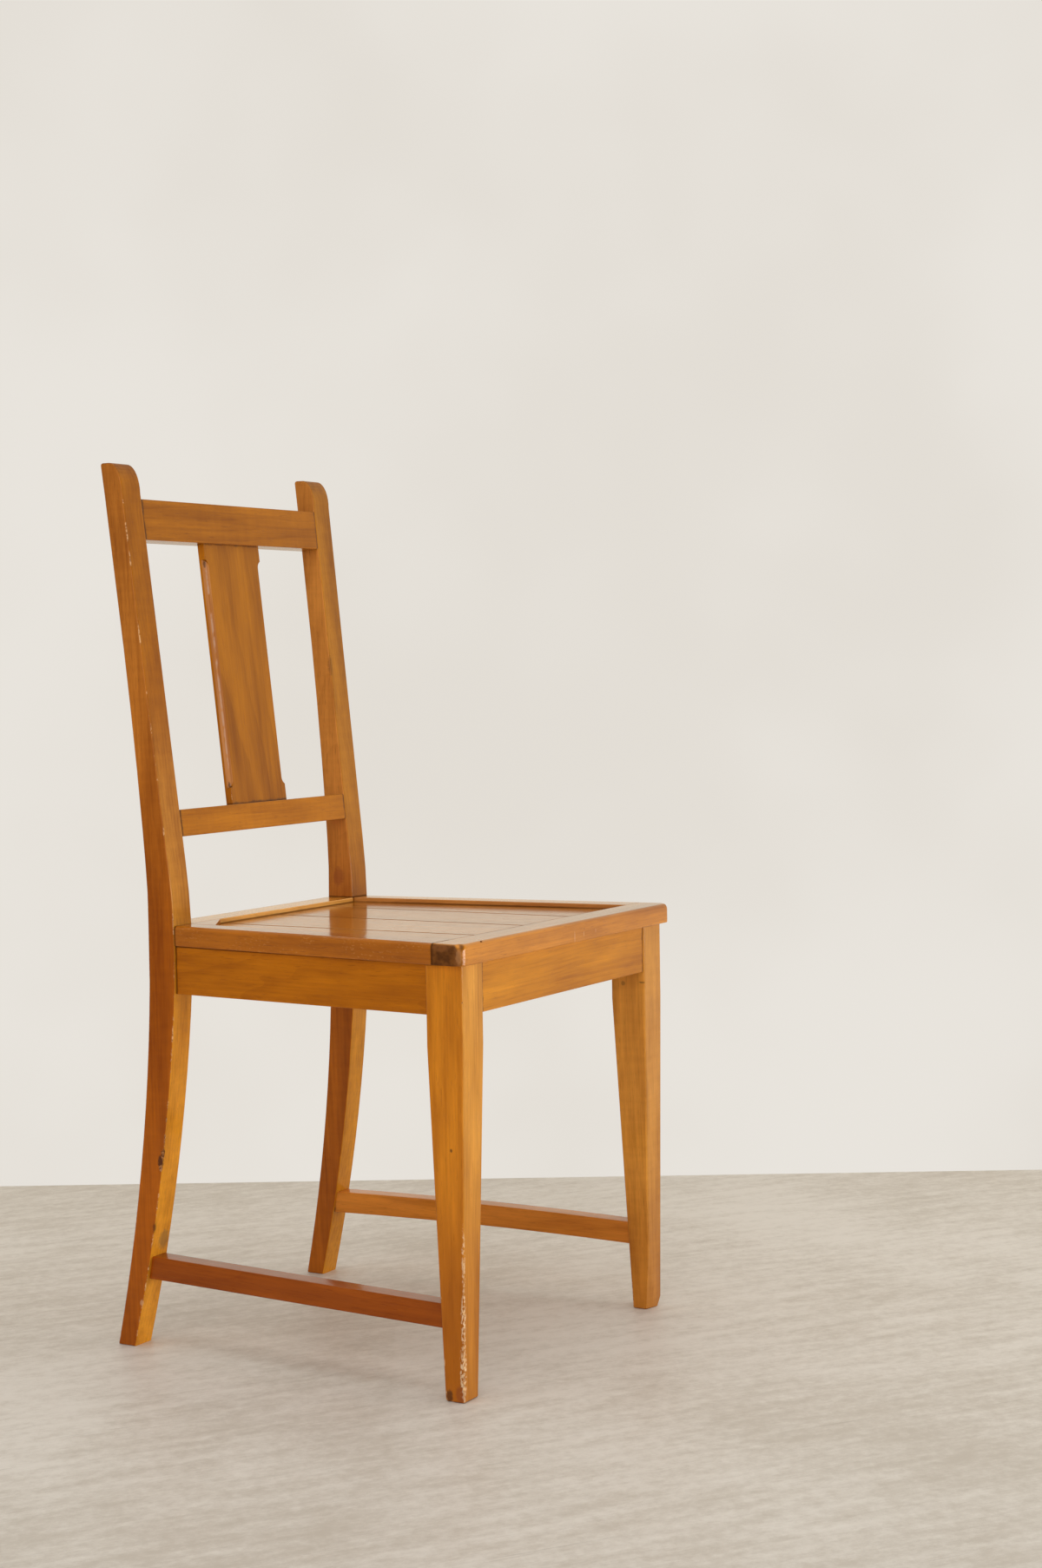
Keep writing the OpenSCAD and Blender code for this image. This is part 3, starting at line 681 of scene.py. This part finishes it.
# front legs, tapered on their inner faces
piece("front_leg_right", "z", "frame_wood", (0.70, 0.230, 0.012), seed=3, width=0.0020, figure=0.25,
      wear=0.35, wear_low=(0.21, 0.6), low_tone=(0.42, 0.115, 0.0056), tone_span=(0.08, 0.26),
      # painted light: faces turned to the window lightened
      front_tint=(0.94, 1.20, 2.9), front_tint_low=(1.06, 1.32, 2.0), tint_span=(0.08, 0.26),
      joints=[shade_under_board],
      chips=[((-0.0008, -0.0008, 0.372), (0.0022, 0.0022, 0.0026)),
             ((-0.0008, -0.0008, 0.356), (0.0020, 0.0020, 0.0024))],
      marks=[("cream", (0, leg_eased(0.026), 0.026), (0.0050, 0.0050, 0.032), 0.9),
             ("cream", (0, leg_eased(0.076), 0.076), (0.0038, 0.0038, 0.034), 0.8),
             ("cream", (0, leg_eased(0.130), 0.130), (0.0028, 0.0028, 0.038), 0.6),
             ("dark", (0, 0.0145, 0.2350), (0.002, 0.0015, 0.002), 0.7),
             ("dark", (0, 0.0206, 0.0050), (0.004, 0.004, 0.008), 0.7),
             ("red", (0, leg_eased(0.008) + 0.004, 0.008), (0.006, 0.006, 0.010), 0.5)])
piece("front_leg_left", "z", "frame_wood", (0.72, 0.285, 0.036), seed=4, width=0.0019, figure=0.25, curl=0.3,
      wear=0.3, wear_low=(0.09, 0.8), low_tone=(0.58, 0.205, 0.022), tone_span=(0.02, 0.20),
      # painted shade: faces turned to the window darkened
      front_tint=(0.75, 0.78, 0.92), joints=[shade_under_board],
      pared=[((0.0090, leg_eased(0.078), 0.078), (0.0275, leg_eased(0.010), 0.010),
              (0.0120, leg_eased(0) + 0.0042, 0)),
             ((0.0379, leg_eased(0.012), 0.012), (0.0290, leg_eased(0), 0),
              (0.0379, leg_eased(0) + 0.0140, 0))],
      marks=[("dark", (0, 0.0021, 0.3480), (0.002, 0.005, 0.0012), 0.5),
             ("dark", (0, 0.0251, 0.3460), (0.002, 0.003, 0.003), 0.4)])

# back: two rails and the splat
rail("top_rail", "x", (0.375, 0.118, 0.003), seed=5, figure=0.45, pith=(0.03, 0.06), tilt=(0.05, 0.02),
     spacing=0.010, curl=0.25, wear=0.15)
rail("lower_rail", "x", (0.455, 0.150, 0.003), seed=6, curl=0.25, wear=0.15,
     marks=[("dark", (0.2955, -0.0003, -0.0006), (0.004, 0.006, 0.002), 0.7)])
# painted shade: the splat's faces turned to the window darkened
rail("splat", "z", (0.57, 0.182, 0.0045), seed=7, width=0.0005, front_tint=(0.65, 0.66, 0.67), figure=0.5,
     pith=(0.01, 0.045), tilt=(0.045, 0.01), spacing=0.011, wear=0.9, chamfer=0.0457,
     marks=[("dark", (0.0020, 0.0239, 0.2596), (0.0014, 0.020, 0.0050), 0.7),
            ("dark", (0.0020, -0.0051, 0.0306), (0.0014, 0.020, 0.0050), 0.7)])

# seat rails
rail("front_apron", "x", (0.55, 0.195, 0.006), seed=8, width=0.0008, wear=0.1, joints=[shade_under_board])
rail("back_apron", "x", AMBER, seed=9, width=0.0008, wear=0.1)
rail("right_apron", "y", (0.48, 0.135, 0.002), seed=10, width=0.0008, figure=0.45, wear=0.1,
     joints=[shade_under_board, (("y", side_board_back, 0.0022),)])
rail("left_apron", "y", AMBER, seed=11, width=0.0008, wear=0.1, joints=[shade_under_board])

# side stretchers
rail("right_stretcher", "y", (0.34, 0.070, 0.003), seed=12, width=0.0015, wear=0.4)
rail("left_stretcher", "y", (0.61, 0.195, 0.020), seed=13, width=0.0015, wear=0.3)

# seat boards and slats
seat_board("seat_front_board", "x", (0.53, 0.180, 0.010), seed=14, width=0, shaped=worn_front_board,
           gloss=1.38, figure=0.3, wear=0.3, end_tone=0.92, joints=[(("y", side_board_front, 0.0012),)],
           chips=[((0.0388, 0.0016, 0.0192), (0.0022, 0.0016, 0.0010))],
           marks=[("bare", (0.0030, 0.0216, 0.0160), (0.0050, 0.0150, 0.0040), 0.25),
                  ("worn", (0.0022, 0.0038, 0.0090), (0.0030, 0.0036, 0.0090), 0.42),
                  ("pale", (0.2158, 0, 0.0055), (0.0008, 0.003, 0.0070), 0.6),
                  ("pale", (0.2346, 0, 0.0066), (0.0007, 0.003, 0.0030), 0.6),
                  ("pale", (0.2593, 0, 0.0075), (0.0007, 0.003, 0.0025), 0.5),
                  ("dark", (0.2357, 0, 0.0116), (0.0009, 0.003, 0.0009), 0.7)])
seat_board("seat_back_board", "x", (0.75, 0.30, 0.030), seed=15, figure=0.3, wear=0.2,
           # painted light: the board's face in the seat well, turned to the window, lightened
           front_tint=(1.3, 1.6, 3.2), joints=[(shade_at_well_foot, ("y", back_board_front, 0.004))])
seat_board("seat_right_board", "y", (0.46, 0.128, 0.003), seed=16, figure=0.35, wear=0.35, flecks=0.6,
           rays=0.3, joints=[(("y", side_board_back, 0.0022),), (("y", side_board_front, 0.0014),)])
seat_board("seat_left_board", "y", (0.66, 0.26, 0.05), seed=17, figure=0.3, wear=0.3,
           joints=[(shade_at_well_foot, ("x", well_side, 0.018))])
slat_edges = {"slat_right_outer": (-slat_gap,), "slat_right_inner": (-slat_gap, 0),
              "slat_left_inner": (slat_gap, 0), "slat_left_outer": (slat_gap,)}
for count, (slat, edges) in enumerate(slat_edges.items()):
    seat_board(slat, "y", (0.50, 0.165, 0.010), seed=18 + count, width=0.0004, figure=0.4,
               pith=(0.02 + 0.02 * count, 0.04), spacing=0.007, wear=0.3,
               joints=[(("x", edge, 0.0020),) for edge in edges])
seat_board("corner_filler", "x", AMBER, seed=22, width=0.0004, runs="all", wear=0.2)

# plain wood under the seat
corner_blocks = ["corner_block_" + end + side for end in ("front", "back") for side in ("_right", "_left")]
for count, hidden in enumerate(["front_cleat", "back_cleat"] + corner_blocks):
    piece(hidden, "x", "inner_wood", RAW, seed=23 + count, width=0.0005, figure=0.4, wear=0.1, coat=False,
          dull=0.2)


# ---------------------------------------------------------------- studio

FLOOR_SIZE = 14
WALL_FOOT = Vector((0.710, 0.258, 0))
WALL_HALF, WALL_HEIGHT = 5, 4
VIEW_TURN, VIEW_TILT, VIEW_ROLL = math.radians(-60.143), math.radians(2.779), math.radians(-0.914)
CAMERA_PLACE = (-2.1765, -1.4093, 0.6843)
FILM_WIDTH, LENS = 36, 58.28      # in millimetres
across = Vector((math.cos(VIEW_TURN), math.sin(VIEW_TURN), 0))


def floor_finish():
    """Pale trowelled floor with a few darker scuffs."""
    f = Finish("pale_floor")
    place = f.place()
    swept = f.add("ShaderNodeMapping", {"Vector": place, "Rotation": (0, 0, math.radians(35))}).outputs[0]
    trowel = f.noise(f.scaled(swept, (9.0, 46.0, 1.0)), 1.0, 5.0, 0.7)
    tone = f.plus(f.times(f.noise(place, 2.2, 4.0, 0.6), 0.35), f.times(f.noise(place, 70.0, 5.0, 0.75), 0.3))
    tone = f.plus(tone, f.times(trowel, 0.35))
    colour = f.mix(f.ramp(tone, 0.38, 0.60), rgb(0.62, 0.555, 0.47), rgb(0.825, 0.77, 0.69))
    scuffs = f.ramp(f.noise(f.scaled(swept, (3.5, 130.0, 1.0)), 1.0, 4.0, 0.7), 0.63, 0.72)
    colour = f.mix(f.times(scuffs, 0.35), colour, rgb(0.34, 0.29, 0.23))
    f.feed(f.shader.inputs["Base Color"], colour)
    f.shader.inputs["Roughness"].default_value = 0.5
    return f.material


def wall_finish():
    """Pale wall that glows as it is written to the camera, glows a little warmer in reflections as a painted
    reflection, and is clear from behind.
    """
    f = Finish("pale_wall")
    cloudy = f.ramp(f.noise(f.place(), 1.6, 3.0), 0.3, 0.7)
    colour = f.mix(cloudy, rgb(0.765, 0.725, 0.665), rgb(0.81, 0.775, 0.72))
    f.feed(f.shader.inputs["Base Color"], colour)
    f.shader.inputs["Roughness"].default_value = 0.8
    light = f.add("ShaderNodeLightPath").outputs
    mirrored = f.maths("MAXIMUM", light["Is Glossy Ray"], light["Is Transmission Ray"])
    seen = f.maths("MAXIMUM", light["Is Camera Ray"], mirrored)
    # painted reflection: in the chair's varnish the wall glows warmer than its own colour
    warmer = f.mix(1.0, colour, rgb(1.09, 1.06, 0.94), "MULTIPLY")
    shown_colour = f.mix(light["Is Glossy Ray"], colour, warmer)
    glow = f.add("ShaderNodeEmission", {"Color": shown_colour, "Strength": 1.0})
    shown = f.add("ShaderNodeMixShader", {0: seen, 1: f.shader.outputs[0], 2: glow.outputs[0]})
    clear = f.add("ShaderNodeBsdfTransparent")
    behind = f.add("ShaderNodeNewGeometry").outputs["Backfacing"]
    both = f.add("ShaderNodeMixShader", {0: behind, 1: shown.outputs[0], 2: clear.outputs[0]})
    f.tree.links.new(both.outputs[0], f.tree.nodes["Material Output"].inputs["Surface"])
    return f.material


def lamp(name, place, aim, size, watts, colour=(1, 1, 1), spread=180):
    """A soft oblong lamp at a place, turned to face another."""
    data = bpy.data.lights.new(name, "AREA")
    data.shape = "RECTANGLE"
    data.size, data.size_y = size
    data.energy = watts
    data.color = colour
    data.spread = math.radians(spread)
    made = put_in_scene(name, data)
    made.location = place
    made.rotation_euler = (Vector(aim) - Vector(place)).to_track_quat("-Z", "Y").to_euler()


bpy.ops.object.select_all(action="DESELECT")
bpy.ops.mesh.primitive_plane_add(size=FLOOR_SIZE, location=(0, 0, 0))
floor = bpy.context.object
floor.name = "floor"
floor.data.materials.append(floor_finish())

wall_mesh = bpy.data.meshes.new("wall")
wall_rise = Vector((0, 0, WALL_HEIGHT))
wall_ends = (WALL_FOOT - across * WALL_HALF, WALL_FOOT + across * WALL_HALF)
wall_mesh.from_pydata([*wall_ends, wall_ends[1] + wall_rise, wall_ends[0] + wall_rise], [], [(0, 1, 2, 3)])
wall = put_in_scene("wall", wall_mesh)
wall.data.materials.append(wall_finish())

world = bpy.data.worlds.new("studio")
bpy.context.scene.world = world
world.use_nodes = True
world.node_tree.nodes["Background"].inputs["Color"].default_value = rgb(0.95, 0.93, 0.90)
world.node_tree.nodes["Background"].inputs["Strength"].default_value = 0.30

lamp("window", (0.60, -2.6, 0.36), aim=(0, 0, 0.35), size=(2.0, 0.62), watts=10, colour=(1.0, 0.98, 0.95),
     spread=90)
lamp("room", (-3.1, -0.9, 1.3), aim=(0, 0, 0.5), size=(3.0, 2.4), watts=36)
lamp("ceiling", (0, 0, 3.4), aim=(0, 0, 0), size=(4.0, 4.0), watts=54)

# camera, turned, tilted and rolled
back = Vector((math.sin(VIEW_TURN) * math.cos(VIEW_TILT), -math.cos(VIEW_TURN) * math.cos(VIEW_TILT),
               math.sin(VIEW_TILT)))
up = back.cross(across)
side = across * math.cos(VIEW_ROLL) + up * math.sin(VIEW_ROLL)
top = up * math.cos(VIEW_ROLL) - across * math.sin(VIEW_ROLL)
camera_data = bpy.data.cameras.new("camera")
camera_data.sensor_width = FILM_WIDTH
camera_data.lens = LENS
camera = put_in_scene("camera", camera_data)
camera.matrix_world = Matrix.Translation(CAMERA_PLACE) @ Matrix((side, top, back)).transposed().to_4x4()
bpy.context.scene.camera = camera
bpy.context.scene.view_settings.view_transform = "Standard"
